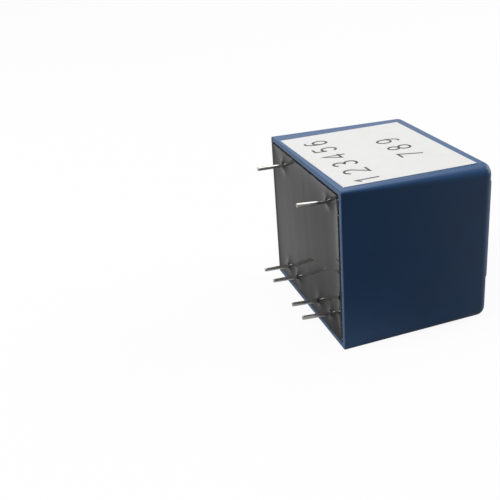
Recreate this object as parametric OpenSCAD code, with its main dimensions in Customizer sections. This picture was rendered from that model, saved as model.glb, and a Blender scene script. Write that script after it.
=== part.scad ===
// Encapsulated transformer for circuit boards, laminated EI core, six pins.
// The part lies on a side face. +Y runs from the seating plane (y = 0, the rim of the
// case) into the body, the pins point along -Y, X runs along the pin rows and +Z is the
// face that carries the label. Millimetres. The case is worked out from the core and the
// coil that it takes in, and from the gaps that the resin fills.

/* [Core] */
// Width of the centre leg (X)
centre_leg = 10; // [9:0.1:12]
// Width of each side leg and of each yoke
side_leg = 5; // [4:0.1:6]
// Width of each window between the legs (X)
window_width = 5; // [4.4:0.1:6]
// Length of each window between the yokes (Z)
window_length = 15; // [13:0.1:17]
// Number of core sheets, every other one turned end for end
sheet_count = 35; // [25:1:40]
// Thickness of one sheet
sheet_thickness = 0.5; // [0.35:0.01:0.6]
// Film of oxide and lacquer between two sheets
sheet_film = 0.015; // [0.01:0.005:0.03]

/* [Bobbin and windings] */
// Wall thickness of the former's tube
tube_wall = 0.7; // [0.5:0.05:1]
// Thickness of the flanges and of the partition
flange_wall = 0.8; // [0.5:0.05:1]
// Play between the former and the core
former_play = 0.1; // [0.05:0.01:0.2]
// Gap between the flanges and the side legs of the core
flange_gap = 1.0; // [0.5:0.1:1.5]
// How far the flanges stand out beyond the wraps
flange_margin = 0.3; // [0.2:0.05:0.4]
// Thickness of the film wraps
tape = 0.1; // [0.05:0.01:0.15]
// Gap between a pin rail and the wall of the case
rail_gap = 0.75; // [0.5:0.05:1]
// Length of a pin rail beyond the outer pins
rail_end = 2.5; // [1:0.1:3]

/* [Case] */
// Wall thickness of the case
case_wall = 1.0; // [0.6:0.05:1.1]
// Radius of the outer edges, all but the rim
edge_radius = 1.6; // [1.2:0.1:2]
// Gap between the core and the side walls
core_gap = 0.25; // [0.15:0.05:0.5]
// Gap between the core and the closed end
core_room = 2.1; // [1.5:0.1:3]

/* [Raised block] */
// Gap between the flanges and the walls of the block, along X
block_room_x = 1.6; // [0.8:0.1:2]
// Gap between the flanges and the walls of the block, along Z
block_room_z = 1.3; // [0.8:0.1:1.6]
// Gap between the flanges and the end of the block
block_room_y = 1.0; // [0.5:0.1:2]
// How far each side of the block leans outwards towards its foot
block_flare = 0.6; // [0:0.1:1]
// Radius of the block's edges
block_radius = 0.8; // [0.4:0.1:1.2]

/* [Pins] */
// Diameter of the pins
pin_diameter = 0.7; // [0.6:0.05:0.9]
// How much the flats of the square shank lie inside the round, both sides together
shank_relief = 0.06; // [0.02:0.01:0.1]
// Length of the pins below the seating plane
pin_length = 4.8; // [3:0.1:8]
// Distance between neighbouring pins of a pair (X)
pin_pitch = 5; // [4:0.1:6]
// Distance between the outer pins of a row (X)
row_span = 20; // [16:0.1:22]
// Distance between the two rows (Z)
row_spacing = 20; // [18.8:0.1:22]
// Rail material left above the end of a pin
pin_cover = 0.7; // [0.4:0.1:1]
// Diameter of the magnet wire led out to the pins
lead_diameter = 0.22; // [0.15:0.01:0.25]
// Number of turns of a lead on its pin
lead_turns = 3; // [2:1:3]

/* [Resin] */
// Depth of the resin surface behind the rim
resin_recess = 0.6; // [0.5:0.05:0.8]
// Depth of the flanges under the resin surface
flange_cover = 0.7; // [0.6:0.05:1]
// Depth of the pin rails under the resin surface
rail_cover = 1.3; // [1.2:0.05:1.6]
// How far the resin climbs the wall of the case
wall_climb = 0.35; // [0.1:0.05:0.4]
// How far the resin climbs each pin
pin_climb = 0.3; // [0.1:0.05:0.4]

/* [Label] */
// Distance from the -X side of the case to the label
label_left = 3.45; // [0.5:0.05:6]
// Distance from the +X side of the case to the label
label_right = 1.15; // [0.5:0.05:6]
// Distance from the rim to the label
label_rim = 0.8; // [0.4:0.1:3]
// Distance from the closed end to the label
label_end = 2.5; // [1.6:0.1:6]
// Thickness of the label
label_thickness = 0.1; // [0.08:0.01:0.2]

/* [Hidden] */

round_fn = 48;
hull_fn = 32;
dome_steps = 8;
skin = 0.02;
over = 1;

// Core: two windows between the legs, stack of sheets
core_length = centre_leg + 2 * window_width + 2 * side_leg;
core_width = window_length + 2 * side_leg;
sheet_pitch = sheet_thickness + sheet_film;
stack_height = sheet_count * sheet_pitch - sheet_film;

// Former: tube round the centre leg, two flanges, one partition
tube_in_x = centre_leg + 2 * former_play;
tube_in_y = stack_height + 2 * former_play;
tube_out_x = tube_in_x + 2 * tube_wall;
tube_out_y = tube_in_y + 2 * tube_wall;
former_z = window_length - 2 * former_play;
chamber_z = (former_z - 3 * flange_wall) / 2;
flange_reach = window_width - flange_gap;
flange_x = centre_leg + 2 * flange_reach;
flange_y = stack_height + 2 * flange_reach;

// Windings: both chambers are filled to the same build, two equal windings share the second
coil_build = flange_reach - former_play - tube_wall - flange_margin;
full_build = coil_build - tape;
half_build = (full_build - tape) / 2;
primary_z = flange_wall / 2;
secondary_z = -flange_wall / 2 - chamber_z;

// Heights above the seating plane
core_seat = resin_recess + flange_cover + flange_reach;
core_mid_y = core_seat + stack_height / 2;
case_depth = core_seat + stack_height + core_room + case_wall;
case_height = core_mid_y + flange_y / 2 + block_room_y + case_wall;

// Case and block round the core and the coil
cavity_length = core_length + 2 * core_gap;
cavity_width = core_width + 2 * core_gap;
cavity_radius = edge_radius - case_wall;
case_length = cavity_length + 2 * case_wall;
case_width = cavity_width + 2 * case_wall;
block_in_length = flange_x + 2 * block_room_x;
block_in_width = former_z + 2 * block_room_z;
block_length = block_in_length + 2 * case_wall;
block_width = block_in_width + 2 * case_wall;

// Pin rails and pins
rail_top = core_seat - former_play;
rail_bottom = resin_recess + rail_cover;
rail_height = rail_top - rail_bottom;
rail_length = row_span + 2 * rail_end;
rail_in_z = former_z / 2 - flange_wall;
rail_out_z = cavity_width / 2 - rail_gap;
row_z = row_spacing / 2;
pin_r = pin_diameter / 2;
pin_taper = 0.25;
round_gap = 0.05;
round_end = resin_recess - max(wall_climb, pin_climb) - round_gap;
shank_flat = pin_diameter - shank_relief;
inner_x = row_span / 2 - pin_pitch;
outer_x = row_span / 2;
PINS = [[1, -outer_x, row_z], [5, outer_x, row_z], [6, -outer_x, -row_z],
    [7, -inner_x, -row_z], [9, inner_x, -row_z], [10, outer_x, -row_z]];

// Leads: from under the coil, through a notch in the flange, to the turns on the pin
lead_r = lead_diameter / 2;
lead_sides = 8;
turn_steps = 12;
turn_radius = shank_flat / sqrt(2) + lead_r + skin;
turn_pitch = lead_diameter + skin;
turns_top = rail_bottom - lead_r - skin;
turns_low = turns_top - lead_turns * turn_pitch;
lead_y = core_mid_y - tube_out_y / 2 - coil_build - lead_r - skin;
lead_start_z = (flange_wall + chamber_z) / 2;
lead_clear = 0.5;
lead_bend_z = former_z / 2 + lead_clear;
lead_straight = 0.9;
notch_depth = 0.3;
exit_share = 0.72;

// Resin surface: thickness of its thin edges
wall_lip = 0.05;
pin_lip = 0.04;

// A flat outline in X and Z, pushed along +Y from y0
module along_y(y0, height) {
    translate([0, y0 + height, 0])
        rotate([90, 0, 0])
            linear_extrude(height = height)
                children();
}

// Rectangle with round corners, centred
module rounded_rectangle(length, width, radius) {
    square([length - 2 * radius, width], center = true);
    square([length, width - 2 * radius], center = true);
    for (sx = [-1, 1])
        for (sy = [-1, 1])
            translate([sx * (length / 2 - radius), sy * (width / 2 - radius)])
                circle(r = radius, $fn = round_fn);
}

// Post from y0 to y1 with a domed far end
module post(y0, y1, radius) {
    rotate([-90, 0, 0])
        rotate_extrude($fn = hull_fn)
            polygon(concat([[0, y0], [radius, y0]],
                [for (k = [0 : dome_steps])
                    let (a = 90 * k / dome_steps)
                    [radius * cos(a), y1 - radius + radius * sin(a)]]));
}

// Block from y0 to y1 with round long edges and a round far end; its foot is wider by flare
module soft_block(length, width, y0, y1, radius, flare) {
    hull()
        for (sx = [-1, 1])
            for (sz = [-1, 1]) {
                translate([sx * (length / 2 - radius), 0, sz * (width / 2 - radius)])
                    post(flare > 0 ? y1 - 2 * radius : y0, y1, radius);
                if (flare > 0)
                    translate([sx * (length / 2 + flare - radius), y0, sz * (width / 2 + flare - radius)])
                        rotate([-90, 0, 0])
                            cylinder(h = skin, r = radius, $fn = hull_fn);
            }
}

// Inside of the case
module cavity(y0) {
    floor_y = case_depth - case_wall;
    along_y(y0, floor_y - y0)
        rounded_rectangle(cavity_length, cavity_width, cavity_radius);
    along_y(floor_y - skin, case_height - case_depth + skin)
        rounded_rectangle(block_in_length, block_in_width, block_radius);
}

module case() {
    color("#2d4f86")
        difference() {
            union() {
                soft_block(case_length, case_width, 0, case_depth, edge_radius, 0);
                soft_block(block_length, block_width, case_depth - edge_radius / 2, case_height,
                    block_radius, block_flare);
            }
            cavity(-over);
        }
}

module label() {
    color("#ededeb")
        translate([label_left - case_length / 2, label_rim, case_width / 2])
            cube([case_length - label_left - label_right, case_depth - label_rim - label_end,
                label_thickness]);
}

// One core sheet: the E has its back towards +Z
module e_outline() {
    difference() {
        translate([-core_length / 2, -core_width / 2 + side_leg])
            square([core_length, core_width - side_leg]);
        for (side = [-1, 1])
            translate([side * (centre_leg + window_width) / 2 - window_width / 2, -core_width / 2])
                square([window_width, side_leg + window_length]);
    }
}

module i_outline() {
    translate([-core_length / 2, -core_width / 2])
        square([core_length, side_leg]);
}

// The stack, every other sheet turned end for end
module sheets() {
    for (k = [0 : sheet_count - 1])
        translate([0, core_seat + k * sheet_pitch, 0])
            mirror([0, 0, k % 2])
                along_y(0, sheet_thickness)
                    children();
}

module e_laminations() {
    color("#6b6f75")
        sheets()
            e_outline();
}

module i_laminations() {
    color("#7a7e84")
        sheets()
            i_outline();
}

// Outline of the coil at a given build: the former's tube with round corners about it
module coil_outline(build) {
    if (build > 0)
        rounded_rectangle(tube_out_x + 2 * build, tube_out_y + 2 * build, build);
    else
        square([tube_out_x, tube_out_y], center = true);
}

// Layer of a chamber from one build to the next
module layer(inner, outer, z0) {
    translate([0, core_mid_y, z0])
        linear_extrude(height = chamber_z)
            difference() {
                coil_outline(outer);
                coil_outline(inner);
            }
}

module flange(z0) {
    translate([0, core_mid_y, z0])
        linear_extrude(height = flange_wall)
            difference() {
                square([flange_x, flange_y], center = true);
                square([tube_in_x, tube_in_y], center = true);
            }
}

// Notches in the pin-side edge of the end flanges, where the leads come out
module flange_notches() {
    for (p = PINS)
        translate([exit_x(p) - lead_diameter, core_mid_y - flange_y / 2 - over,
                sign(p[2]) * (former_z - flange_wall) / 2 - flange_wall])
            cube([2 * lead_diameter, over + flange_margin + notch_depth, 2 * flange_wall]);
}

module bobbin() {
    color("#1d1f22")
        difference() {
            union() {
                translate([0, core_mid_y, -former_z / 2])
                    linear_extrude(height = former_z)
                        difference() {
                            square([tube_out_x, tube_out_y], center = true);
                            square([tube_in_x, tube_in_y], center = true);
                        }
                flange(-former_z / 2);
                flange(-flange_wall / 2);
                flange(former_z / 2 - flange_wall);
                for (side = [-1, 1])
                    translate([-rail_length / 2, rail_bottom, side > 0 ? rail_in_z : -rail_out_z])
                        cube([rail_length, rail_height, rail_out_z - rail_in_z]);
            }
            flange_notches();
            for (p = PINS)
                pin_shank(p, rail_bottom - over);
        }
}

module primary_winding() {
    color("#a4562a")
        layer(0, full_build, primary_z);
}

module primary_tape() {
    color("#d9b23a")
        layer(full_build, coil_build, primary_z);
}

module secondary_winding_a() {
    color("#b5652f")
        layer(0, half_build, secondary_z);
}

module interlayer_tape() {
    color("#d9b23a")
        layer(half_build, half_build + tape, secondary_z);
}

module secondary_winding_b() {
    color("#b5652f")
        layer(half_build + tape, full_build, secondary_z);
}

module secondary_tape() {
    color("#d9b23a")
        layer(full_build, coil_build, secondary_z);
}

// The square part of a pin, from y0 up to its end in the rail
module pin_shank(p, y0) {
    along_y(y0, rail_top - pin_cover - y0)
        translate([p[1], p[2]])
            square(shank_flat, center = true);
}

// A pin: round outside the resin, square where its lead is wound on and in the rail
module pin_form(p) {
    translate([p[1], -pin_length, p[2]])
        rotate([-90, 0, 0]) {
            cylinder(h = pin_taper, r1 = pin_r - pin_taper / 2, r2 = pin_r, $fn = round_fn);
            translate([0, 0, pin_taper])
                cylinder(h = pin_length + round_end - pin_taper, r = pin_r, $fn = round_fn);
        }
    pin_shank(p, round_end);
}

module pin(number) {
    for (p = PINS)
        if (p[0] == number)
            color("#c9c4b8")
                pin_form(p);
}

// The winding ends leave their chamber nearer the middle than their pin
function exit_x(p) = p[1] * exit_share;

// Route of a lead: over the winding, through its notch, slanting to the side of its pin, then
// round the pin in a helix up to the rail
function lead_route(p) =
    let (side = sign(p[2]), reach = sign(p[1]), at_x = p[1] - reach * turn_radius)
    concat(
        [[exit_x(p), lead_y, side * lead_start_z],
            [exit_x(p), lead_y, side * lead_bend_z],
            [at_x, turns_low, p[2] - side * lead_straight],
            [at_x, turns_low, p[2] - side * lead_r]],
        [for (k = [0 : lead_turns * turn_steps])
            let (a = 360 * k / turn_steps)
            [p[1] - reach * turn_radius * cos(a), turns_low + turn_pitch * k / turn_steps,
                p[2] + side * turn_radius * sin(a)]]);

function unit(v) = v / norm(v);

// Direction of the route at point k
function heading(route, k) =
    unit(route[min(k + 1, len(route) - 1)] - route[max(k - 1, 0)]);

// Ring of points round the route at point k
function ring(route, k) =
    let (t = heading(route, k), u = unit(cross(t, abs(t[1]) > 0.9 ? [1, 0, 0] : [0, 1, 0])),
        v = cross(t, u))
    [for (j = [0 : lead_sides - 1])
        let (a = 360 * j / lead_sides)
        route[k] + lead_r * (u * cos(a) + v * sin(a))];

// Round wire along a route
module wire(route) {
    n = len(route);
    points = [for (k = [0 : n - 1]) each ring(route, k)];
    walls = [for (k = [0 : n - 2], j = [0 : lead_sides - 1])
        let (a = k * lead_sides + j, b = k * lead_sides + (j + 1) % lead_sides)
        each [[a, b, b + lead_sides], [a, b + lead_sides, a + lead_sides]]];
    ends = [[for (j = [0 : lead_sides - 1]) lead_sides - 1 - j],
        [for (j = [0 : lead_sides - 1]) (n - 1) * lead_sides + j]];
    polyhedron(points = points, faces = concat(walls, ends), convexity = 6);
}

module lead(number) {
    for (p = PINS)
        if (p[0] == number)
            color("#b5652f")
                wire(lead_route(p));
}

// Flat strip with round ends from a to b
module strip(a, b, half) {
    run = b - a;
    translate(a)
        rotate(atan2(run[1], run[0])) {
            translate([0, -half])
                square([norm(run), 2 * half]);
            for (end = [0, norm(run)])
                translate([end, 0])
                    circle(r = half, $fn = round_fn);
        }
}

// Room that a lead takes up in the resin, with its turns
module lead_room(p) {
    side = sign(p[2]);
    exit = [exit_x(p), side * lead_bend_z];
    foot = [p[1] - sign(p[1]) * turn_radius, p[2] - side * lead_straight];
    low = turns_low - lead_diameter;
    along_y(low, rail_bottom - low)
        translate([p[1], p[2]])
            circle(r = turn_radius + lead_diameter, $fn = round_fn);
    along_y(low, lead_y + lead_diameter - low) {
        strip([exit_x(p), side * lead_start_z], exit, lead_diameter);
        strip(exit, foot, lead_diameter);
        strip(foot, [foot[0], p[2]], lead_diameter);
    }
}

// Air over the resin: its edges are round where the resin climbs the walls
module air() {
    depth = 4 * wall_climb;
    mid_y = resin_recess - depth / 2;
    intersection() {
        translate([0, mid_y, -case_width])
            linear_extrude(height = 2 * case_width)
                rounded_rectangle(cavity_length - 2 * wall_lip, depth, wall_climb);
        translate([-case_length, mid_y, 0])
            rotate([0, 90, 0])
                linear_extrude(height = 2 * case_length)
                    rounded_rectangle(cavity_width - 2 * wall_lip, depth, wall_climb);
    }
}

// Hollow-sided collar of resin round a pin
module collar() {
    reach = pin_r + pin_lip + pin_climb;
    rotate([90, 0, 0])
        rotate_extrude($fn = round_fn)
            difference() {
                translate([0, -skin])
                    square([reach, pin_climb + skin]);
                translate([reach, pin_climb])
                    circle(r = pin_climb, $fn = round_fn);
            }
}

// Everything that the resin flows round
module wound_core() {
    along_y(core_seat, stack_height)
        difference() {
            square([core_length, core_width], center = true);
            for (side = [-1, 1])
                translate([side * (centre_leg + window_width) / 2, 0])
                    square([window_width, window_length], center = true);
        }
    translate([0, core_mid_y, 0])
        cube([tube_in_x, tube_in_y, former_z], center = true);
    layer(0, coil_build, primary_z);
    layer(0, coil_build, secondary_z);
}

module potting_resin() {
    color("#5b5c5e")
        difference() {
            union() {
                difference() {
                    cavity(resin_recess - wall_climb);
                    air();
                }
                for (p = PINS)
                    translate([p[1], resin_recess, p[2]])
                        collar();
            }
            wound_core();
            bobbin();
            for (p = PINS) {
                lead_room(p);
                pin_form(p);
            }
        }
}

case();
label();
potting_resin();
bobbin();
e_laminations();
i_laminations();
primary_winding();
primary_tape();
secondary_winding_a();
interlayer_tape();
secondary_winding_b();
secondary_tape();
pin(1);  // pin_1
pin(5);  // pin_5
pin(6);  // pin_6
pin(7);  // pin_7
pin(9);  // pin_9
pin(10);  // pin_10
lead(1);  // lead_1
lead(5);  // lead_5
lead(6);  // lead_6
lead(7);  // lead_7
lead(9);  // lead_9
lead(10);  // lead_10
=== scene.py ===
"""Finished surfaces, label, light and camera for an encapsulated transformer for circuit boards.

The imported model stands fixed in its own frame: y = 0 is the rim of the case, +Y runs into the
body, the pins point along -Y, +Z carries the label and the part lies on its -Z side. Metres.
"""

import math

import bpy
import numpy as np
from bpy.props import FloatProperty, FloatVectorProperty, IntProperty, PointerProperty
from bpy.types import Operator, Panel, PropertyGroup
from mathutils import Matrix, Vector


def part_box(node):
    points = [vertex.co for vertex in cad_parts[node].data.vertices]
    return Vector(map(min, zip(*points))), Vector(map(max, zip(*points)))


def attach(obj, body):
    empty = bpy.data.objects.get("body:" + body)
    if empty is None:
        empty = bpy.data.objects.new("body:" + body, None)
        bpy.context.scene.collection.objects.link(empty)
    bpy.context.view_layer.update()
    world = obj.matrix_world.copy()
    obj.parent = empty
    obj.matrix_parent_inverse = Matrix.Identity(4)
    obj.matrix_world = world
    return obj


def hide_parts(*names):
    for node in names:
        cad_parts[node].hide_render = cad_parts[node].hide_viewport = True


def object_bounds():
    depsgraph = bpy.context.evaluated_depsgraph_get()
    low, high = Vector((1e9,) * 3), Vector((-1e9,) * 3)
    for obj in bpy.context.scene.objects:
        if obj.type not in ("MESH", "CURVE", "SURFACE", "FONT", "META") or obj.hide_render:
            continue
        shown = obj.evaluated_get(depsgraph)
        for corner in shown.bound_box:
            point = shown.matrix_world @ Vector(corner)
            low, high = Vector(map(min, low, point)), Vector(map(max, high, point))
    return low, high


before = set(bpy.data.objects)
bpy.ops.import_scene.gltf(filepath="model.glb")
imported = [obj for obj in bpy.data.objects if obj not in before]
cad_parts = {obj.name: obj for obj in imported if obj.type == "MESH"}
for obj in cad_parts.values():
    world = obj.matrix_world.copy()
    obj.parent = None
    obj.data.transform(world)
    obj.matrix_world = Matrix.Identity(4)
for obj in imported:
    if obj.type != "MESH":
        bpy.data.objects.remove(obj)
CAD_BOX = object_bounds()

bl_info = {
    "name": "Encapsulated transformer",
    "version": (1, 0, 0),
    "blender": (4, 5, 0),
    "location": "3D View > Sidebar > Transformer",
    "description": "Builds the case, label, resin and pins of a circuit-board transformer",
    "category": "Object",
}

MM = 0.001
PIN_NAMES = sorted(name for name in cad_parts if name.startswith("pin_"))
CASE_HIGH = np.array(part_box("case")[1])
LABEL_LOW, LABEL_HIGH = (np.array(corner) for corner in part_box("label"))
LEANS = {"pin_1": 0.3, "pin_5": 1.0, "pin_6": 0.6, "pin_7": 0.7, "pin_9": 1.0, "pin_10": 1.0}
COLLARED = ("pin_7", "pin_9")
# Name, azimuth and elevation in degrees, width in metres and power in watts.
LAMPS = (("left", 165, 34, 0.5, 0.66), ("front", 270, 42, 0.35, 2.9),
         ("back", 92, 21, 0.45, 1.8), ("top", 95, 72, 0.35, 1.05))
LAMP_DISTANCE = 0.6
LIT_PLACE = (0, 0.012, 0)


def linear(hex_code):
    """Linear red, green, blue and alpha of an sRGB hex colour, by the sRGB transfer curve."""
    channels = np.array([int(hex_code[k:k + 2], 16) / 255 for k in (1, 3, 5)])
    low = channels / 12.92
    high = ((channels + 0.055) / 1.055) ** 2.4
    return (*map(float, np.where(channels <= 0.04045, low, high)), 1.0)


WHITE = linear("#FFFFFF")


def length(name, description, default):
    """A size in metres that the panel shows with its unit."""
    return FloatProperty(name=name, description=description, default=default, min=0.0,
                         unit="LENGTH", precision=5)


def angle(name, description, degrees):
    """An angle that the panel shows in degrees."""
    return FloatProperty(name=name, description=description, default=math.radians(degrees),
                         subtype="ANGLE")


def colour(name, description, hex_code):
    """A colour kept in linear light, given as an sRGB hex code."""
    return FloatVectorProperty(name=name, description=description, default=linear(hex_code),
                               subtype="COLOR", size=4, min=0.0, max=1.0)


# ---- settings


class CaseSettings(PropertyGroup):
    """Sizes and colour of the moulded case."""

    depth: length("Depth", "Rim to closed end, without the raised block", 26.41 * MM)
    wall: length("Wall", "Wall thickness at the rim", 0.8 * MM)
    edge: length("Edge radius", "Radius of the edges round the closed end", 1.55 * MM)
    side_edge: length("Side radius", "Radius of the four long edges at the closed end", 1.95 * MM)
    corner: length("Rim corner", "Radius of the four long edges at the rim", 0.45 * MM)
    rim: length("Rim radius", "Radius left by the mould on the outer edge of the rim", 0.17 * MM)
    lip: length("Lip radius", "Radius on the inner edge of the rim", 0.08 * MM)
    block_length: length("Block length", "End of the raised block along X", 23.2 * MM)
    block_width: length("Block width", "End of the raised block along Z", 19.4 * MM)
    block_flare: length("Block flare", "How far its sides lean out at their foot", 0.37 * MM)
    block_lean: length("Flare height", "How far up the block's sides that flare runs", 1.3 * MM)
    block_corner: length("Block corner", "Radius of the block's upright corners", 1.3 * MM)
    block_edge: length("Block radius", "Radius of the block's end edges", 0.8 * MM)
    block_foot: length("Foot radius", "Hollow radius where the block meets the case", 0.3 * MM)
    grain: length("Grain", "Spacing of the spark-eroded grain of the mould", 0.22 * MM)
    tint: colour("Colour", "Colour of the plastic", "#225487")
    rim_tint: colour("Rim", "Colour of the scuffed rim", "#50687F")
    smear_tint: colour("Smear", "Colour of the resin film on the rim", "#2B2B2C")


class LabelSettings(PropertyGroup):
    """The paper label and the plain digits printed on it."""

    trim_x: length("Trim along X", "Bare strip of its place at -X and at +X", 0.35 * MM)
    trim_y: length("Trim along Y", "Bare strip of its place at its two other sides", 0.05 * MM)
    slant_rim: angle("Slant at the rim", "Slant of the paper's edge next to the rim", 1.2)
    slant_far: angle("Slant at the far edge", "Slant of the opposite edge", 0.63)
    slant_sides: angle("Slant of the sides", "Slant of the paper's two other edges", 0.42)
    lift: length("Ink height", "Height of the ink over the paper", 0.012 * MM)
    digit_height: length("Digit height", "Height of a digit", 4.0 * MM)
    stroke: length("Stroke", "Width of a printed line", 0.4 * MM)
    pitch: length("Pitch", "From one digit to the next", 4.15 * MM)
    row: length("Long row", "Foot of the long row's digits, from the rim", 7.6 * MM)
    row_short: length("Short row", "Foot of the short row's digits, from the rim", 19.1 * MM)
    middle: length("Middle, long row", "Middle of the long row along X", 2.6 * MM)
    middle_short: length("Middle, short row", "Middle of the short row along X", 1.6 * MM)
    lean: angle("Lean", "Turn of the print", 1.2)
    paper: colour("Paper", "Colour of the paper", "#ECECEA")
    ink: colour("Ink", "Colour of the ink", "#222224")


class ResinSettings(PropertyGroup):
    """The open surface of the casting resin."""

    fill: length("Fill", "Depth of the highest part of the surface behind the rim", 0.16 * MM)
    crown_x: length("Crown", "Place of that highest part along X, towards -X", 8.7 * MM)
    bow_x: FloatProperty(name="Bow along X", description="Fall from the crown, in 1/m",
                         default=1.35)
    bow_z: FloatProperty(name="Bow along Z", description="Fall from the middle, in 1/m",
                         default=1.6)
    brim: length("Brim", "Depth behind the rim to which the resin climbs the case", 0.05 * MM)
    wall_reach: length("Reach at the wall", "Distance over which that climb fades", 2.4 * MM)
    gap_x: length("Gap at +X", "Width of the crack between resin and case at +X", 0.74 * MM)
    gap_z: length("Gap at +Z", "Width of the crack between resin and case at +Z", 0.36 * MM)
    gap_depth: length("Gap depth", "Depth of those cracks", 0.8 * MM)
    pin_rise: length("Rise at a pin", "How far the resin climbs a pin", 0.55 * MM)
    pin_reach: length("Reach at a pin", "Distance over which that rise fades", 0.75 * MM)
    swell: length("Swell", "Height of the slow waves that curing leaves", 0.004 * MM)
    tint: colour("Colour", "Colour of the resin", "#1E1E1F")


class PinSettings(PropertyGroup):
    """The round tinned pins."""

    root: length("Depth in the resin", "How far the modelled pin runs behind the rim", 1.6 * MM)
    burr: length("Burr", "Height of the burr that the cutter leaves", 0.05 * MM)
    coat: length("Coat", "Unevenness of the hot-dipped tin", 0.006 * MM)
    lean: length("Lean", "How far a pin's tip may stand off its place, towards +Z", 0.28 * MM)
    sides: IntProperty(name="Sides", description="Faces round a pin", default=40, min=12, max=96)
    tint: colour("Colour", "Colour of the tin", "#DCD9D3")
    collar: length("Collar", "How far before the rim the resin has crept up a pin", 0.5 * MM)
    film: length("Film", "Thickness of the resin that has crept up a pin", 0.05 * MM)


class StageSettings(PropertyGroup):
    """Camera, floor and lamps."""

    camera_place: FloatVectorProperty(
        name="Camera", description="Place of the camera", subtype="TRANSLATION", unit="LENGTH",
        default=(0.11756, -0.04195, 0.05551))
    azimuth: angle("Azimuth", "Turn of the camera about the upright", 72.804)
    elevation: angle("Elevation", "How far the camera looks down", 24.078)
    roll: angle("Roll", "Lean of the camera", -3.819)
    lens: FloatProperty(name="Lens", description="Focal length on a frame 36 mm wide",
                        default=56.836, unit="CAMERA")
    shift: FloatVectorProperty(name="Shift", description="Shift of the view along its width and "
                               "height, as a share of the width", size=2, default=(-0.05, -0.02))
    light: FloatProperty(name="Light", description="Factor on the power of every lamp",
                         default=1.0, min=0.0)


# ---- meshes and pieces


def mesh_piece(name, points, quads, caps=(), smooth=True):
    """A mesh object at the origin from an array of points, an array of quads and a few n-gons."""
    points = np.asarray(points, np.float32).reshape(-1, 3)
    quads = np.asarray(quads, np.int32).reshape(-1, 4)
    loops = np.concatenate([quads.ravel()] + [np.asarray(cap, np.int32) for cap in caps])
    sizes = np.concatenate([np.full(len(quads), 4), [len(cap) for cap in caps]]).astype(np.int32)
    starts = np.concatenate([[0], np.cumsum(sizes)[:-1]]).astype(np.int32)
    mesh = bpy.data.meshes.new(name)
    mesh.vertices.add(len(points))
    mesh.vertices.foreach_set("co", points.ravel())
    mesh.loops.add(len(loops))
    mesh.loops.foreach_set("vertex_index", loops)
    mesh.polygons.add(len(sizes))
    mesh.polygons.foreach_set("loop_start", starts)
    mesh.polygons.foreach_set("use_smooth", np.full(len(sizes), smooth))
    mesh.update(calc_edges=True)
    mesh.validate()
    piece = bpy.data.objects.new(name, mesh)
    bpy.context.scene.collection.objects.link(piece)
    return piece


def grid_quads(rows, columns, closed):
    """Quads of a grid of points, row by row; a closed grid joins its last column to its first."""
    last = columns if closed else columns - 1
    r, c = np.meshgrid(np.arange(rows - 1), np.arange(last), indexing="ij")
    here, beside = r * columns + c, r * columns + (c + 1) % columns
    return np.stack([here, beside, beside + columns, here + columns], -1).reshape(-1, 4)


def capped_rings(name, rings):
    """A closed surface through rings of points, with a flat cap on the first and on the last."""
    rows, columns = rings.shape[:2]
    ring = np.arange(columns)
    caps = [ring, (rows - 1) * columns + ring[::-1]]
    return mesh_piece(name, rings, grid_quads(rows, columns, True)[:, ::-1], caps)


def dress(piece, material, slot, *nodes):
    """Gives a finished piece its material and its body, and hides the CAD nodes it stands for. The
    slot argument is not used.
    """
    piece.data.materials.append(material)
    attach(piece, "root")
    if nodes:
        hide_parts(*nodes)


def corner_columns(arc_steps, side_cuts):
    """Columns of a rounded rectangle: for each point the two arc ends it lies between.

    A point on an arc names one corner and one angle twice; a point on a straight side names the
    end of one arc, the start of the next and the fraction between them.
    """
    signs = [(1, 1), (-1, 1), (-1, -1), (1, -1)]
    first, second, share = [], [], []
    for k, sign in enumerate(signs):
        angles = np.radians(90 * k + np.linspace(0, 90, arc_steps + 1))
        for turn in angles:
            first.append((*sign, turn))
            second.append((*sign, turn))
            share.append(0.0)
        ahead = signs[(k + 1) % 4]
        for cut in side_cuts:
            first.append((*sign, angles[-1]))
            second.append((*ahead, angles[-1]))
            share.append(cut)
    return np.array(first), np.array(second), np.array(share)


def rounded_rings(profile, arc_steps=10, side_cuts=(0.01, 0.25, 0.5, 0.75, 0.99)):
    """Points of rounded rectangles, one for each row (half x, half z, radius, y) of the profile.

    Each corner is an arc of the row's radius about a centre that lies that radius inside both
    sides, and the sides join the arcs.
    """
    rows = np.asarray(profile, float)
    half_x, half_z, radius, height = (rows[:, k:k + 1] for k in range(4))
    first, second, share = corner_columns(arc_steps, side_cuts)

    def on_arc(column):
        x = column[:, 0] * (half_x - radius) + radius * np.cos(column[:, 2])
        z = column[:, 1] * (half_z - radius) + radius * np.sin(column[:, 2])
        return x, z

    (x0, z0), (x1, z1) = on_arc(first), on_arc(second)
    x = x0 + share * (x1 - x0)
    z = z0 + share * (z1 - z0)
    return np.stack([x, np.broadcast_to(height, x.shape), z], -1)


def quarter(steps):
    """Sines and cosines of evenly spaced angles from 0 to 90 degrees."""
    angles = np.radians(np.linspace(0, 90, steps + 1))
    return np.stack([np.sin(angles), np.cos(angles)], -1)


def graded(low, high, dense, coarse):
    """Places from low to high, coarse apart, and closer about each (place, spacing, reach).

    The density of places is 1/coarse plus a bell curve of height 1/spacing about each place;
    equal steps of its running sum give the places.
    """
    samples = 8001
    x = np.linspace(low, high, samples)
    density = np.full_like(x, 1 / coarse)
    for place, spacing, reach in dense:
        density += np.exp(-((x - place) / reach) ** 2) / spacing
    total = np.concatenate([[0], np.cumsum((density[1:] + density[:-1]) / 2 * np.diff(x))])
    return np.interp(np.linspace(0, total[-1], int(total[-1]) + 1), total, x)


# ---- materials


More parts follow.
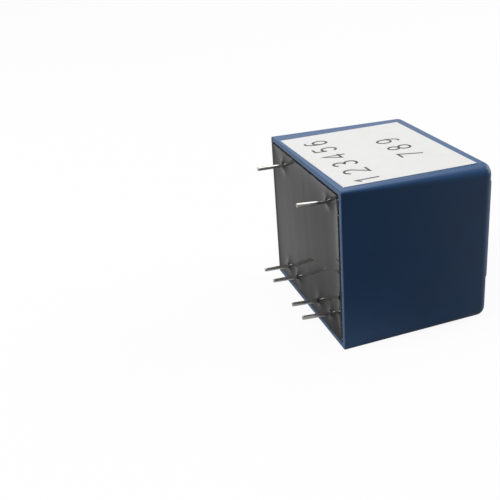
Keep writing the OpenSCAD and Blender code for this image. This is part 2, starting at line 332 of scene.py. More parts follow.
def feed(tree, node, inputs):
    """Gives inputs of a node, by name or number, a value each, or links them from a socket or from
    the first live output of another node."""
    for key, value in inputs.items():
        if isinstance(value, bpy.types.Node):
            value = next(socket for socket in value.outputs if socket.enabled)
        if isinstance(value, bpy.types.NodeSocket):
            tree.links.new(value, node.inputs[key])
        else:
            node.inputs[key].default_value = value


def add_node(tree, kind, inputs=(), stops=(), **attributes):
    """Adds a shader node of a kind, sets its attributes and the (position, colour) of each of its
    stops, and feeds its inputs."""
    node = tree.nodes.new("ShaderNode" + kind)
    for key, value in attributes.items():
        setattr(node, key, value)
    for k, (position, value) in enumerate(stops):
        node.color_ramp.elements[k].position = position
        node.color_ramp.elements[k].color = value
    feed(tree, node, dict(inputs))
    return node


def new_material(name, *patterns):
    """A node material, its tree, its Principled shader, Object coordinates and a noise for each
    pattern (spacing, detail): its features lie that far apart, so its scale is one over that."""
    material = bpy.data.materials.new(name)
    material.use_nodes = True
    tree = material.node_tree
    place = add_node(tree, "TexCoord").outputs["Object"]
    noises = [add_node(tree, "TexNoise", {
        "Vector": place, "Scale": 1 / spacing, "Detail": detail, "Roughness": 0.55})
        for spacing, detail in patterns]
    return material, tree, tree.nodes["Principled BSDF"], place, *noises


def tinted(tint, gain):
    """A linear colour made lighter or darker by a factor."""
    return (*np.clip(np.array(tint[:3]) * gain, 0, 1), 1.0)


def moulded_polyester(settings):
    """Glass-filled PBT from a spark-eroded mould: even colour, a satin grain that breaks the
    highlights into a soft band, drawn coarser than the real one so that it shows, and slow flow
    marks that shift the gloss a little. The rim is paler, scuffed by trimming, and at -X it
    carries the grey smear of the resin that ran over."""
    material, tree, shader, place, flow, speck, grain, ragged = new_material(
        "moulded_pbt_satin", (9 * MM, 2), (1.5 * settings.grain, 2), (settings.grain, 2),
        (1.1 * MM, 3))
    base = add_node(tree, "ValToRGB", {"Fac": flow}, (
        (0.3, tinted(settings.tint, 0.93)), (0.7, tinted(settings.tint, 1.06))))
    mottle = add_node(tree, "ValToRGB", {"Fac": speck}, ((0.3, tinted(WHITE, 0.93)), (0.7, WHITE)))
    grained = add_node(tree, "Mix", {"Factor": 1.0, "A": base, "B": mottle},
                       data_type="RGBA", blend_type="MULTIPLY")
    axes = add_node(tree, "SeparateXYZ", {0: place}).outputs
    rim = add_node(tree, "MapRange", {
        "Value": axes["Y"], "From Min": 0.16 * MM, "From Max": 0.05 * MM})
    scuff = add_node(tree, "MapRange", {"Value": ragged, "To Min": 0.35, "To Max": 0.75})
    worn = add_node(tree, "Math", {0: rim, 1: scuff}, operation="MULTIPLY")
    scuffed = add_node(tree, "Mix", {
        "Factor": worn, "A": grained, "B": tuple(settings.rim_tint)}, data_type="RGBA")
    far_side = add_node(tree, "MapRange", {
        "Value": axes["X"], "From Min": -15.2 * MM, "From Max": -15.5 * MM})
    patches = add_node(tree, "MapRange", {"Value": ragged, "From Min": 0.3, "From Max": 0.4})
    rim_there = add_node(tree, "Math", {0: far_side, 1: rim}, operation="MULTIPLY")
    smear = add_node(tree, "Math", {0: rim_there, 1: patches}, operation="MULTIPLY")
    smeared = add_node(tree, "Mix", {
        "Factor": smear, "A": scuffed, "B": tuple(settings.smear_tint)}, data_type="RGBA")
    gloss = add_node(tree, "MapRange", {"Value": flow, "To Min": 0.36, "To Max": 0.46})
    waves = add_node(tree, "Bump", {"Height": flow, "Distance": 0.02 * MM, "Strength": 0.5})
    pits = add_node(tree, "Bump", {
        "Height": grain, "Distance": 0.006 * MM, "Strength": 0.6, "Normal": waves})
    feed(tree, shader, {"IOR": 1.54, "Base Color": smeared, "Roughness": gloss, "Normal": pits})
    return material


def label_paper(settings):
    """Uncoated self-adhesive paper: matt, faintly mottled by its fibres, which are drawn coarser
    than real so that they show."""
    material, tree, shader, place, cloud = new_material("uncoated_label_paper", (2.6 * MM, 2))
    fibre = add_node(tree, "TexNoise", {
        "Vector": place, "Scale": 1 / (0.35 * MM), "Detail": 4, "Roughness": 0.6})
    fine = add_node(tree, "ValToRGB", {"Fac": fibre}, (
        (0.3, tinted(settings.paper, 0.965)), (0.7, tuple(settings.paper))))
    shade = add_node(tree, "ValToRGB", {"Fac": cloud}, ((0.3, tinted(WHITE, 0.975)), (0.7, WHITE)))
    mottled = add_node(tree, "Mix", {"Factor": 1.0, "A": fine, "B": shade},
                       data_type="RGBA", blend_type="MULTIPLY")
    relief = add_node(tree, "Bump", {"Height": fibre, "Distance": 0.01 * MM, "Strength": 0.35})
    feed(tree, shader, {"IOR": 1.5, "Base Color": mottled, "Roughness": 0.62, "Normal": relief})
    return material


def printing_ink(settings):
    """Thermal-transfer ink: dark grey, a little uneven where the ribbon let go of the paper."""
    material, tree, shader, _, patch = new_material("transfer_ink", (0.16 * MM, 2))
    ink = add_node(tree, "ValToRGB", {"Fac": patch}, (
        (0.3, tinted(settings.ink, 0.8)), (0.7, tinted(settings.ink, 1.7))))
    feed(tree, shader, {"IOR": 1.5, "Base Color": ink, "Roughness": 0.5})
    return material


def casting_resin(settings):
    """Filled two-part polyurethane, cast and cured in the open: nearly black, with a glossy skin
    that mirrors the pins, and a few fine specks of dust."""
    material, tree, shader, _, cloud, dust, ripple = new_material(
        "cast_polyurethane", (4 * MM, 3), (0.3 * MM, 1), (1.1 * MM, 2))
    base = add_node(tree, "ValToRGB", {"Fac": cloud}, (
        (0.3, tinted(settings.tint, 0.85)), (0.7, tinted(settings.tint, 1.2))))
    specks = add_node(tree, "MapRange", {"Value": dust, "From Min": 0.74, "From Max": 0.8})
    faint = add_node(tree, "MapRange", {"Value": cloud, "From Min": 0, "From Max": 3})
    settled = add_node(tree, "Math", {0: specks, 1: faint}, operation="MULTIPLY")
    dusty = add_node(tree, "Mix", {
        "Factor": settled, "A": base, "B": linear("#8A8782")}, data_type="RGBA")
    gloss = add_node(tree, "MapRange", {"Value": cloud, "To Min": 0.045, "To Max": 0.075})
    skin = add_node(tree, "Bump", {"Height": ripple, "Distance": 0.004 * MM, "Strength": 0.3})
    feed(tree, shader, {"IOR": 1.52, "Base Color": dusty, "Roughness": gloss, "Normal": skin})
    return material


def hot_tinned_wire(settings):
    """Tin-dipped steel wire: bright grey with a warm cast, a soft unevenness along the pin and
    dull patches where the coat is thin."""
    material, tree, shader, place = new_material("hot_tinned_wire")
    along = add_node(tree, "Mapping", {"Vector": place, "Scale": (1, 0.3, 1)})
    patch = add_node(tree, "TexNoise", {
        "Vector": along, "Scale": 1 / (0.6 * MM), "Detail": 3, "Roughness": 0.55})
    tin = add_node(tree, "ValToRGB", {"Fac": patch}, (
        (0.3, tinted(settings.tint, 0.8)), (0.6, tinted(settings.tint, 1.15))))
    gloss = add_node(tree, "MapRange", {"Value": patch, "To Min": 0.26, "To Max": 0.14})
    coat = add_node(tree, "Bump", {"Height": patch, "Distance": 0.004 * MM, "Strength": 0.3})
    feed(tree, shader, {"Metallic": 1.0, "Base Color": tin, "Roughness": gloss, "Normal": coat})
    return material


def core_sheet():
    """Annealed silicon-steel sheet: blue-grey oxide with rolling marks."""
    material, tree, shader, place, bloom = new_material("annealed_core_steel", (4 * MM, 2))
    rolled = add_node(tree, "Mapping", {"Vector": place, "Scale": (0.05, 1, 1)})
    marks = add_node(tree, "TexNoise", {
        "Vector": rolled, "Scale": 1 / (0.3 * MM), "Detail": 3, "Roughness": 0.55})
    oxide = add_node(tree, "ValToRGB", {"Fac": bloom}, (
        (0.3, linear("#5A616C")), (0.7, linear("#7C828C"))))
    gloss = add_node(tree, "MapRange", {"Value": marks, "To Min": 0.35, "To Max": 0.55})
    relief = add_node(tree, "Bump", {"Height": marks, "Distance": 0.01 * MM, "Strength": 0.4})
    feed(tree, shader, {"Metallic": 1.0, "Base Color": oxide, "Roughness": gloss,
                        "Normal": relief})
    return material


def enamelled_copper(wire_spacing):
    """Enamelled copper wire laid turn by turn: a warm metal under clear varnish, with a ridge for
    each turn along the coil's axis. A wave texture of scale s repeats every pi / (10 s)."""
    material, tree, shader, place, shade = new_material("enamelled_copper", (1.5 * MM, 2))
    turns = add_node(tree, "TexWave", {
        "Vector": place, "Scale": math.pi / 10 / wire_spacing, "Distortion": 0.4},
        wave_type="BANDS", bands_direction="Z")
    copper = add_node(tree, "ValToRGB", {"Fac": shade}, (
        (0.3, linear("#8E4A22")), (0.7, linear("#B96A38"))))
    gloss = add_node(tree, "MapRange", {"Value": shade, "To Min": 0.25, "To Max": 0.4})
    ridges = add_node(tree, "Bump", {
        "Height": turns.outputs["Fac"], "Distance": wire_spacing / 3, "Strength": 0.8})
    feed(tree, shader, {"Metallic": 1.0, "Coat Weight": 0.5, "Coat Roughness": 0.15,
                        "Base Color": copper, "Roughness": gloss, "Normal": ridges})
    return material


def inner_plastic(name, ior, spacing, dark, light, gloss, relief):
    """A plastic inside the part: one noise shades it, shifts its gloss and gives its relief."""
    material, tree, shader, _, grain = new_material(name, (spacing, 3))
    tone = add_node(tree, "ValToRGB", {"Fac": grain}, ((0.3, linear(dark)), (0.7, linear(light))))
    rough = add_node(tree, "MapRange", {"Value": grain, "To Min": gloss[0], "To Max": gloss[1]})
    bump = add_node(tree, "Bump", {"Height": grain, "Distance": relief, "Strength": 0.5})
    feed(tree, shader, {"IOR": ior, "Base Color": tone, "Roughness": rough, "Normal": bump})
    return material


def moulded_nylon():
    """Glass-filled nylon of the former: black, satin, with a fine fibre grain."""
    return inner_plastic("glass_filled_nylon", 1.53, 0.25 * MM, "#17181A", "#26282B",
                         (0.4, 0.55), 0.01 * MM)


def polyester_film():
    """Yellow polyester wrapping film: glossy, creased over the turns under it."""
    return inner_plastic("polyester_film", 1.64, 1.2 * MM, "#C99A2C", "#E3B93F",
                         (0.2, 0.32), 0.03 * MM)


# ---- shapes


def case_profile(settings):
    """Rows (half x, half z, radius, y) of the case, from the inside of the block over the rim to
    the end of the block.

    Round edges follow inset = r (1 - cos a) and rise = r sin a; the corner radius of a row
    shrinks by the same inset. The long edges open evenly from the rim's corner radius to the side
    radius at the closed end. A row close beside a round edge supports the flat next to it.
    """
    half_x, top, half_z = CASE_HIGH
    depth = settings.depth
    wall, edge, rim, lip = settings.wall, settings.edge, settings.rim, settings.lip
    side_edge = settings.side_edge
    block_x, block_z = settings.block_length / 2, settings.block_width / 2
    flare, lean, corner = settings.block_flare, settings.block_lean, settings.block_corner
    bend, foot = settings.block_edge, settings.block_foot
    support, least_radius = 0.15 * MM, 0.04 * MM
    lip_steps, rim_steps, edge_steps, foot_steps, block_steps = 4, 6, 14, 6, 10
    rows = []

    def row(inset, y, start_x, start_z, start_radius):
        radius = max(start_radius - inset, least_radius)
        rows.append((start_x - inset, start_z - inset, radius, y))

    def inner_row(inset, y):
        row(inset, y, half_x - wall, half_z - wall, settings.corner)

    def outer_row(inset, y):
        open_edge = settings.corner + (side_edge - settings.corner) * min(y / depth, 1)
        row(inset, y, half_x, half_z, open_edge)

    def block_row(inset, y):
        row(inset, y, block_x, block_z, corner)

    block_row(wall, top - wall)
    block_row(wall, depth - wall)
    inner_row(0, depth - wall)
    inner_row(0, lip + support)
    for s, c in quarter(lip_steps):
        inner_row(-lip * (1 - c), lip * (1 - s))
    for s, c in quarter(rim_steps)[::-1]:
        outer_row(rim * (1 - c), rim * (1 - s))
    outer_row(0, rim + support)
    for share in np.linspace(0.1, 0.9, 9):
        outer_row(0, share * (depth - edge))
    outer_row(0, depth - edge - support)
    for s, c in quarter(edge_steps):
        outer_row(edge * (1 - c), depth - edge * (1 - s))
    outer_row(edge + support, depth)
    block_row(-flare - foot - support, depth)
    for s, c in quarter(foot_steps):
        block_row(-flare - foot * (1 - s), depth + foot * (1 - c))
    block_row(-flare * foot / (lean - foot), depth + lean - foot)
    block_row(0, depth + lean)
    block_row(0, top - bend)
    for s, c in quarter(block_steps):
        block_row(bend * (1 - c), top - bend * (1 - s))
    block_row(bend + support, top)
    block_row(3 * bend, top)
    return rows


def build_case(settings):
    """The case as one closed surface: rounded rectangles carried along its profile, with a flat
    cap on the inside and one on the end of the block."""
    return capped_rings("case_shell", rounded_rings(case_profile(settings)))


def pin_places():
    """Middle (x, z), radius and tip of each pin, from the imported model."""
    places = {}
    for name in PIN_NAMES:
        low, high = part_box(name)
        places[name] = ((low.x + high.x) / 2, (low.z + high.z) / 2, (high.x - low.x) / 2, low.y)
    return places


def wall_distance(x, z, half_x, half_z, radius):
    """Distance inwards from a rounded rectangle: its radius, less the distance to the rectangle of
    its arcs' centres from outside it, or plus the depth inside that."""
    qx, qz = np.abs(x) - (half_x - radius), np.abs(z) - (half_z - radius)
    outside = np.hypot(np.maximum(qx, 0), np.maximum(qz, 0))
    return radius - outside - np.minimum(np.maximum(qx, qz), 0)


def cure_waves(x, z):
    """Slow waves left by the cure, in swells: fine, middle and broad sines, whose crests wind with
    slower sines. Their lengths are in millimetres."""
    x, z = x / MM, z / MM
    fine = 0.5 * np.sin(x / 0.47 + 1.5 * np.sin(z / 5.2) + np.sin(x / 3.3))
    middle = 1.1 * np.sin(x / 0.9 + z / 7.0 + 2 * np.sin(x / 4.1))
    broad = 1.8 * np.sin(x / 2.3 + 0.7) * np.sin(z / 3.1 + 1.9)
    return fine + middle + broad


def ragged_width(along):
    """Width of the crack as a share of its mean: 1 plus three sines of the way along the edge,
    whose lengths are in millimetres."""
    along = along / MM
    return (1 + 0.14 * np.sin(along / 0.37 + 2 * np.sin(along / 2.3))
            + 0.1 * np.sin(along / 0.83 + 1.3) + 0.07 * np.sin(along / 0.13))


def resin_surface(x, z, settings, case):
    """Height y of the resin at x, z: a shallow dome, crown + a (x - x0)^2 + b z^2, which goes over
    into a brim close behind the rim by an exponential of the distance from the wall, or from the
    lip of the crack, less a rise that dies away exponentially from each pin, plus slow waves.

    At +X and +Z the resin has shrunk away: over the ragged width of the crack it drops by gap
    depth times 1 - u^4, where u runs from 0 at the wall to 1 at the lip.
    """
    proudest = -0.35 * MM
    half_x, half_z = CASE_HIGH[0] - case.wall, CASE_HIGH[2] - case.wall
    inward = np.minimum(wall_distance(x, z, half_x, half_z, case.corner),
                        np.minimum(half_x - x - settings.gap_x, half_z - z - settings.gap_z))
    inward = np.maximum(inward, 0)
    y = settings.fill + settings.bow_x * (x + settings.crown_x) ** 2 + settings.bow_z * z ** 2
    y += (settings.brim - y) * np.exp(-inward / settings.wall_reach)
    for px, pz, radius, _ in pin_places().values():
        away = np.maximum(np.hypot(x - px, z - pz) - radius, 0)
        y -= settings.pin_rise * np.exp(-away / settings.pin_reach)
    y = np.maximum(y, proudest) + settings.swell * cure_waves(x, z)
    ragged = ragged_width(x - z)
    u = np.minimum((half_x - x) / (settings.gap_x * ragged),
                   (half_z - z) / (settings.gap_z * ragged))
    return y + settings.gap_depth * np.clip(1 - np.maximum(u, 0) ** 4, 0, 1)


def sheet_body(front, back):
    """Points, quads and caps of a body: a grid of points whose quads face outwards, walls along
    its edge and a flat back, whose points the given function works out from the grid's edge."""
    rows, columns = front.shape[:2]
    index = np.arange(rows * columns).reshape(rows, columns)
    edge = np.concatenate([index[0, :-1], index[:-1, -1], index[-1, :0:-1], index[:0:-1, 0]])
    behind = rows * columns + np.arange(len(edge))
    walls = np.stack([np.roll(edge, -1), edge, behind, np.roll(behind, -1)], -1)
    points = np.concatenate([front.reshape(-1, 3), back(front.reshape(-1, 3)[edge])])
    return points, np.concatenate([grid_quads(rows, columns, False), walls]), [behind[::-1]]


def build_resin(settings, case):
    """The resin as a closed body: its open surface on a grid that is finer at the wall and the
    pins, walls that run back from its edge and a flat back."""
    bury = 0.05 * MM
    at_pin, at_wall = (0.08 * MM, 0.8 * MM), (0.04 * MM, 0.7 * MM)
    coarse_x, coarse_z = 0.22 * MM, 0.26 * MM
    half_x, half_z = CASE_HIGH[0] - case.wall + bury, CASE_HIGH[2] - case.wall + bury
    places = pin_places().values()
    across = [(px, *at_pin) for px in sorted({round(px, 6) for px, *_ in places})]
    upward = [(pz, *at_pin) for pz in sorted({round(pz, 6) for _, pz, *_ in places})]
    xs = graded(-half_x, half_x, across + [(-half_x, *at_wall), (half_x, *at_wall)], coarse_x)
    zs = graded(-half_z, half_z, upward + [(-half_z, *at_wall), (half_z, *at_wall)], coarse_z)
    z, x = np.meshgrid(zs, xs, indexing="ij")
    front = np.stack([x, resin_surface(x, z, settings, case), z], -1)
    inner = case.depth - case.wall
    points, quads, caps = sheet_body(front, lambda edge: np.where([0, 1, 0], inner, edge))
    return mesh_piece("resin_body", points, quads, caps)


def pin_axis(y, place, lean):
    """Middle (x, z) of a pin at y: upright on its place at the rim, its tip off by the lean."""
    px, pz, _, tip = place
    return px, pz + lean * np.clip(y / tip, 0, 1)


def revolved(name, profile, place, lean, sides, oval=0.0):
    """A round bar from rows (radius, y) about a pin's leaning axis, closed by a cap at each end.

    Each row is a circle, flattened by up to the share oval with the sine of twice its angle.
    """
    profile = np.array(profile)
    turn = np.linspace(0, 2 * math.pi, sides, endpoint=False)
    reach = profile[:, :1] * (1 - oval * (1 + np.sin(2 * turn)) / 2)
    px, pz = pin_axis(profile[:, 1:], place, lean)
    x = px + reach * np.cos(turn)
    z = pz + reach * np.sin(turn)
    return capped_rings(name, np.stack([x, np.broadcast_to(profile[:, 1:], x.shape), z], -1))


def build_pin(name, place, settings, seed):
    """A pin as a surface of revolution, a little oval, whose radius wavers along it with the coat
    of tin: three sines, each with a phase of its own.

    Its end is cut square: from the middle of the cut the radius runs out to a small burr and a
    narrow round edge, then along the shank to a flat end inside the resin.
    """
    radius, tip = place[2:]
    phases = np.random.default_rng(seed).uniform(0, 2 * math.pi, 3)
    spacings = (0.9 * MM, 0.5 * MM, 0.31 * MM)
    shank_start, shank_rows, oval = 0.22 * MM, 34, 0.012
    burr, coat = settings.burr, settings.coat
    cut = ((0.45, 0.7 * burr), (0.8, 0.4 * burr), (0.9, 0), (0.955, 0.02 * MM), (0.985, 0.09 * MM))
    shank = np.linspace(tip + shank_start, settings.root, shank_rows)
    waver = sum(np.sin(shank / spacing + phase) / 3 for spacing, phase in zip(spacings, phases))
    rows = [(share * radius, tip + height) for share, height in cut]
    rows += [(radius - coat * (1 + w) / 2, y) for w, y in zip(waver, shank)]
    return revolved(name + "_tinned", rows, place, settings.lean * LEANS[name], settings.sides,
                    oval)


def build_collar(name, place, settings):
    """The film of resin on a pin's foot: a sleeve whose radius swells from a hair under the pin's
    own, and back to it, by a half sine to the power 0.6. A ring inside the pin closes it."""
    radius = place[2]
    end, start = -settings.collar, 0.9 * MM
    under, tuck = 0.004 * MM, 0.01 * MM
    share = np.linspace(0, 1, 15)
    swell = np.sin(math.pi * share) ** 0.6
    rows = [(radius * 0.9, end + tuck)]
    rows += [(radius + settings.film * w - under, end + s * (start - end))
             for s, w in zip(share, swell)]
    return revolved(name + "_collar", rows, place, settings.lean * LEANS[name], settings.sides)


def slanted(points, across, along):
    """Points of the label's plane sheared about the middle of its place: y grows with x by the
    tangent of the first angle and x falls with y by the tangent of the second."""
    middle = (LABEL_LOW + LABEL_HIGH) / 2
    x, y, z = (points[..., k] for k in range(3))
    return np.stack([x - (y - middle[1]) * np.tan(along), y + (x - middle[0]) * np.tan(across), z],
                    -1)


def build_label(settings):
    """The label as a thin closed sheet, cut a little out of square: a grid whose top waves by the
    product of two sines, where the paper lies over the glue, and a flat underside."""
    low, high = LABEL_LOW, LABEL_HIGH
    columns, rows = 90, 76
    clear, wave_height = 0.004 * MM, 0.003 * MM
    top = high[2] - settings.lift - clear
    xs = np.linspace(low[0] + settings.trim_x, high[0] - settings.trim_x, columns)
    share = np.linspace(0, 1, rows)
    ys = low[1] + settings.trim_y + share * (high[1] - low[1] - 2 * settings.trim_y)
    y, x = np.meshgrid(ys, xs, indexing="ij")
    wave = wave_height * np.sin(x / (2.1 * MM)) * np.sin(y / (1.7 * MM) + 0.4)
    slant = settings.slant_rim + share[:, None] * (settings.slant_far - settings.slant_rim)
    front = slanted(np.stack([x, y, top + wave], -1), slant, settings.slant_sides)
    points, quads, caps = sheet_body(front, lambda edge: np.where([0, 0, 1], low[2], edge))
    return mesh_piece("label_sheet", points, quads, caps, smooth=False)


def arc(centre, radii, start, end, steps=16):
    """Points of an ellipse's arc, (cx + rx cos a, cy + ry sin a), for angles in degrees."""
    return [(centre[0] + radii[0] * math.cos(a), centre[1] + radii[1] * math.sin(a))
            for a in np.radians(np.linspace(start, end, steps + 1))]


def digit_strokes(digit):
    """Pen strokes of a plain digit in a box 0.5 wide and 1 high, as lists of points."""
    six = [arc((0.26, 0.44), (0.24, 0.55), 62, 180)
           + arc((0.25, 0.31), (0.23, 0.31), 180, 540, 28)]
    strokes = {
        "1": [[(0.09, 0.8), (0.27, 1.0), (0.27, 0.0)]],
        "2": [arc((0.25, 0.74), (0.22, 0.26), 165, -38) + [(0.02, 0.0), (0.48, 0.0)]],
        "3": [arc((0.23, 0.76), (0.2, 0.24), 155, -90)
              + arc((0.23, 0.26), (0.23, 0.26), 90, -155)],
        "4": [[(0.36, 0.0), (0.36, 1.0), (0.01, 0.28), (0.49, 0.28)]],
        "5": [[(0.44, 1.0), (0.09, 1.0), (0.05, 0.54)]
              + arc((0.24, 0.32), (0.23, 0.32), 140, -150)],
        "6": six,
        "7": [[(0.02, 1.0), (0.48, 1.0), (0.16, 0.0)]],
        "8": [arc((0.25, 0.76), (0.19, 0.24), -90, 270, 24),
              arc((0.25, 0.26), (0.23, 0.26), 90, 450, 26)],
        "9": [[(0.5 - x, 1 - y) for x, y in stroke] for stroke in six],
    }
    return strokes[digit]


def ribbon(stroke, half_width, half_height):
    """Rings of a thin bar along a flat path: four corners at each point, offset across the path.

    The offset runs along the normal of the mean of the two legs that meet at the point, and is
    divided by the cosine of half the bend, but by no less than a half, so that the bar keeps its
    width round a bend.
    """
    path = np.array(stroke)
    legs = np.diff(path, axis=0)
    legs /= np.linalg.norm(legs, axis=1, keepdims=True)
    before = np.vstack([legs[:1], legs])
    after = np.vstack([legs, legs[-1:]])
    heading = before + after
    heading /= np.linalg.norm(heading, axis=1, keepdims=True)
    across = np.stack([-heading[:, 1], heading[:, 0]], -1)
    across *= half_width / np.maximum(np.sum(heading * after, 1, keepdims=True), 0.5)
    return np.stack([np.column_stack([path + side * across, np.full(len(path), level)])
                     for side, level in ((1, half_height), (-1, half_height),
                                         (-1, -half_height), (1, -half_height))], 1)


def build_print(settings):
    """Two rows of counting digits as raised strokes; they read along -X with their heads
    towards the rim. Each stroke of a digit lies a hair under the one before, so that no two
    tops share a plane where they cross."""
    rows = [("123456", settings.middle, settings.row),
            ("789", settings.middle_short, settings.row_short)]
    height, pitch = settings.digit_height, settings.pitch
    clear, under = 0.001 * MM, 0.0015 * MM
    level = LABEL_HIGH[2] - settings.lift / 2 - clear
    points, quads, caps, count = [], [], [], 0
    for text, middle, foot in rows:
        for k, digit in enumerate(text):
            start = middle + ((len(text) - 1) / 2 - k) * pitch + height / 4
            for layer, stroke in enumerate(digit_strokes(digit)):
                rings = ribbon(np.array(stroke) * height, settings.stroke / 2, settings.lift / 2)
                placed = slanted(np.stack([start - rings[..., 0], foot - rings[..., 1],
                                           level - layer * under + rings[..., 2]], -1),
                                 settings.lean, settings.lean)
                points.append(placed.reshape(-1, 3))
                quads.append(grid_quads(len(placed), 4, True)[:, ::-1] + count)
                first, count = count + np.arange(4), count + 4 * len(placed)
                caps += [first, count - 1 - np.arange(4)]
    return mesh_piece("label_digits", np.concatenate(points), np.concatenate(quads), caps,
                      smooth=False)


# ---- operators


class TRANSFORMER_OT_camera(Operator):
    """Place the camera"""

    bl_idname = "transformer.camera"
    bl_label = "Camera"

    def execute(self, context):
        stage = context.scene.transformer_stage
        azimuth, elevation, roll = stage.azimuth, stage.elevation, stage.roll
        back = Vector((math.sin(azimuth) * math.cos(elevation),
                       -math.cos(azimuth) * math.cos(elevation), math.sin(elevation)))
        level = Vector((math.cos(azimuth), math.sin(azimuth), 0))
        upright = back.cross(level)
        right = math.cos(roll) * level + math.sin(roll) * upright
        up = back.cross(right)
        turn = Matrix((right, up, back)).transposed().to_4x4()
        data = bpy.data.cameras.new("camera")
        data.sensor_width = 36
        data.lens = stage.lens
        data.shift_x, data.shift_y = stage.shift
        data.clip_start = MM
        camera = bpy.data.objects.new("camera", data)
        camera.matrix_world = Matrix.Translation(stage.camera_place) @ turn
        context.scene.collection.objects.link(camera)
        context.scene.camera = camera
        return {"FINISHED"}


class TRANSFORMER_OT_case(Operator):
    """Build the moulded case with its raised block"""

    bl_idname = "transformer.case"
    bl_label = "Case"

    def execute(self, context):
        settings = context.scene.transformer_case
        dress(build_case(settings), moulded_polyester(settings), "case_plastic", "case")
        return {"FINISHED"}


class TRANSFORMER_OT_label(Operator):
    """Build the paper label and its printed digits"""

    bl_idname = "transformer.label"
    bl_label = "Label"

    def execute(self, context):
        settings = context.scene.transformer_label
        dress(build_label(settings), label_paper(settings), "label_paper", "label")
        dress(build_print(settings), printing_ink(settings), "label_paper")
        return {"FINISHED"}


class TRANSFORMER_OT_resin(Operator):
    """Build the casting resin with its climb at the wall and the pins"""

    bl_idname = "transformer.resin"
    bl_label = "Resin"

    def execute(self, context):
        settings = context.scene.transformer_resin
        body = build_resin(settings, context.scene.transformer_case)
        dress(body, casting_resin(settings), "casting_resin", "potting_resin")
        return {"FINISHED"}


class TRANSFORMER_OT_pins(Operator):
    """Build the tinned pins and the resin that has crept up some of them"""

    bl_idname = "transformer.pins"
    bl_label = "Pins"

    def execute(self, context):
        settings = context.scene.transformer_pins
        tin = hot_tinned_wire(settings)
        resin = bpy.data.materials["cast_polyurethane"]
        for seed, (name, place) in enumerate(pin_places().items()):
            dress(build_pin(name, place, settings, seed), tin, "tinned_wire", name)
            if name in COLLARED:
                dress(build_collar(name, place, settings), resin, "casting_resin")
        return {"FINISHED"}


class TRANSFORMER_OT_core(Operator):
    """Give the sealed core, former, windings and leads their materials"""

    bl_idname = "transformer.core"
    bl_label = "Core and coil"

    def execute(self, context):
        finishes = {
            "e_laminations": core_sheet(),
            "bobbin": moulded_nylon(),
            "primary_winding": enamelled_copper(0.16 * MM),
            "secondary_winding": enamelled_copper(0.3 * MM),
            "lead": enamelled_copper(0.5 * MM),
            "tape": polyester_film(),
        }
        finishes["i_laminations"] = finishes["e_laminations"]
        for name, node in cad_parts.items():
            for part, material in finishes.items():
                if part in name:
                    node.data.materials.clear()
                    node.data.materials.append(material)
        return {"FINISHED"}


class TRANSFORMER_OT_stage(Operator):
    """Lay the floor and set the lamps"""

    bl_idname = "transformer.stage"
    bl_label = "Stage"

    def execute(self, context):
        half, floor_z = 3.0, CAD_BOX[0][2]
        corners = [(-half, -half, floor_z), (half, -half, floor_z), (half, half, floor_z),
                   (-half, half, floor_z)]
        floor = mesh_piece("floor", corners, [(0, 1, 2, 3)], smooth=False)
        floor.data.materials.append(table_with_painted_shade())
        white_world(context.scene)
        for name, azimuth, elevation, width, power in LAMPS:
            soft_lamp(name, azimuth, elevation, width,
                      power * context.scene.transformer_stage.light)
        return {"FINISHED"}


def soft_lamp(name, azimuth, elevation, width, power):
    """A square area lamp that looks at the part from a direction in degrees."""
    turn, lift = math.radians(azimuth), math.radians(elevation)
    away = Vector((math.cos(turn) * math.cos(lift), math.sin(turn) * math.cos(lift),
                   math.sin(lift)))
    data = bpy.data.lights.new(name, "AREA")
    data.shape = "SQUARE"
    data.size = width
    data.energy = power
    lamp = bpy.data.objects.new(name, data)
    lamp.location = Vector(LIT_PLACE) + LAMP_DISTANCE * away
    lamp.rotation_euler = away.to_track_quat("Z", "Y").to_euler()
    bpy.context.scene.collection.objects.link(lamp)


def seen_as_white(tree):
    """Light Path, and 1 for the rays that see the background white: camera and transmission."""
    path = add_node(tree, "LightPath")
    white = add_node(tree, "Math", {
        0: path.outputs["Is Camera Ray"], 1: path.outputs["Is Transmission Ray"]},
        operation="MAXIMUM")
    return path, white


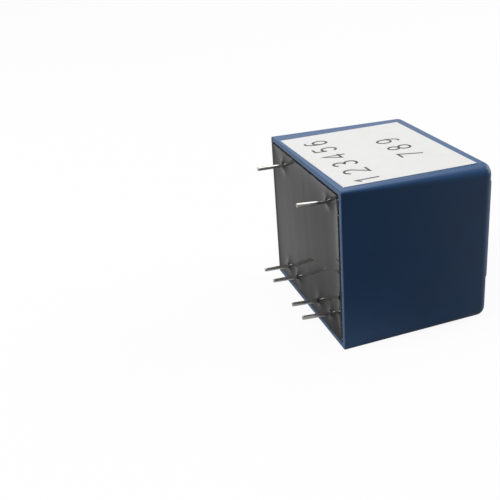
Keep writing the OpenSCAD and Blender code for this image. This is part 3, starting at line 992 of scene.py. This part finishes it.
def table_with_painted_shade():
    """White table top: matt and pale round the part, with painted shade past it at +X: a dark grey
    that stands in for a studio's light falling off there. Camera rays see it white with a light
    shadow beside the part. Glossy rays see it glow a little everywhere and more over the painted
    shade, rising towards +Y and a little -X: a painted reflection, so that metal, resin and the
    case mirror a pale room."""
    # The dark grey at +X, past the part, is painted shade, standing in for studio light that falls
    # off there.
    pale, dim, shadowed = linear("#B4B4B4"), linear("#363636"), linear("#F4F4F4")
    ahead_way, dim_from, dim_to = (0.91, 0.42, 0), 19 * MM, 29 * MM
    back_way, rise_from, rise_to = (-0.476, 0.88, 0), -12 * MM, 20 * MM
    camera_glow, near_glow, painted_reflection_range = 0.93, 0.08, (0.08, 0.5)

    material = bpy.data.materials.new("table_with_painted_shade")
    material.use_nodes = True
    tree = material.node_tree
    tree.nodes.clear()
    path, white = seen_as_white(tree)
    place = add_node(tree, "TexCoord").outputs["Object"]
    ahead = add_node(tree, "VectorMath", {0: place, 1: ahead_way}, operation="DOT_PRODUCT")
    shade_and_glow_mask = add_node(tree, "MapRange", {"Value": ahead, "From Min": dim_from, "From Max": dim_to})
    tone = add_node(tree, "ValToRGB", {"Fac": shade_and_glow_mask}, ((0, pale), (1, dim)))
    seen = add_node(tree, "Mix", {"Factor": white, "A": tone, "B": shadowed}, data_type="RGBA")
    table = add_node(tree, "BsdfDiffuse", {"Color": seen})
    glow = add_node(tree, "Emission", {"Color": WHITE, "Strength": 1.0})
    # The glow that only glossy rays see, over the painted shade and rising towards +Y, is a
    # painted reflection.
    back = add_node(tree, "VectorMath", {0: place, 1: back_way}, operation="DOT_PRODUCT")
    rise = add_node(tree, "MapRange", {"Value": back, "From Min": rise_from, "From Max": rise_to})
    squared = add_node(tree, "Math", {0: rise, 1: rise}, operation="MULTIPLY")
    risen = add_node(tree, "MapRange", {
        "Value": squared, "To Min": painted_reflection_range[0], "To Max": painted_reflection_range[1]})
    far = add_node(tree, "Math", {0: shade_and_glow_mask, 1: risen}, operation="MULTIPLY")
    shown = add_node(tree, "Math", {0: far, 1: near_glow}, operation="ADD")
    mirrored = add_node(tree, "Math", {0: path.outputs["Is Glossy Ray"], 1: shown},
                        operation="MULTIPLY")
    share = add_node(tree, "Math", {0: white, 1: camera_glow, 2: mirrored},
                     operation="MULTIPLY_ADD")
    mix = add_node(tree, "MixShader", {"Fac": share, 1: table, 2: glow})
    add_node(tree, "OutputMaterial", {"Surface": mix})
    return material


def white_world(scene):
    """A dim even sky that camera and transmission rays see as white and glossy rays as pale."""
    light, mirrored_white = 0.03, 0.34
    world = bpy.data.worlds.new("studio")
    world.use_nodes = True
    tree = world.node_tree
    tree.nodes.clear()
    path, white = seen_as_white(tree)
    mirrored = add_node(tree, "Math", {
        0: path.outputs["Is Glossy Ray"], 1: mirrored_white}, operation="MULTIPLY")
    either = add_node(tree, "Math", {0: white, 1: mirrored}, operation="MAXIMUM")
    level = add_node(tree, "MapRange", {"Value": either, "To Min": light, "To Max": 1})
    sky = add_node(tree, "Background", {"Color": WHITE, "Strength": level})
    add_node(tree, "OutputWorld", {"Surface": sky})
    scene.world = world


class TRANSFORMER_PT_panel(Panel):
    """Lists the steps that build the transformer"""

    bl_idname = "TRANSFORMER_PT_panel"
    bl_label = "Transformer"
    bl_space_type = "VIEW_3D"
    bl_region_type = "UI"
    bl_category = "Transformer"

    def draw(self, context):
        for step in STEPS:
            self.layout.operator(step.bl_idname)


STEPS = (TRANSFORMER_OT_camera, TRANSFORMER_OT_case, TRANSFORMER_OT_label, TRANSFORMER_OT_resin,
         TRANSFORMER_OT_pins, TRANSFORMER_OT_core, TRANSFORMER_OT_stage)
SETTINGS = {"transformer_case": CaseSettings, "transformer_label": LabelSettings,
            "transformer_resin": ResinSettings, "transformer_pins": PinSettings,
            "transformer_stage": StageSettings}


def register():
    for name, group in SETTINGS.items():
        bpy.utils.register_class(group)
        setattr(bpy.types.Scene, name, PointerProperty(type=group))
    for item in (*STEPS, TRANSFORMER_PT_panel):
        bpy.utils.register_class(item)


def unregister():
    for item in (TRANSFORMER_PT_panel, *reversed(STEPS)):
        bpy.utils.unregister_class(item)
    for name, group in SETTINGS.items():
        delattr(bpy.types.Scene, name)
        bpy.utils.unregister_class(group)


def main():
    register()
    for step in STEPS:
        getattr(bpy.ops.transformer, step.bl_idname.split(".")[1])()
    bpy.context.scene.view_settings.view_transform = "Standard"
    bpy.context.view_layer.update()


if __name__ == "__main__":
    main()
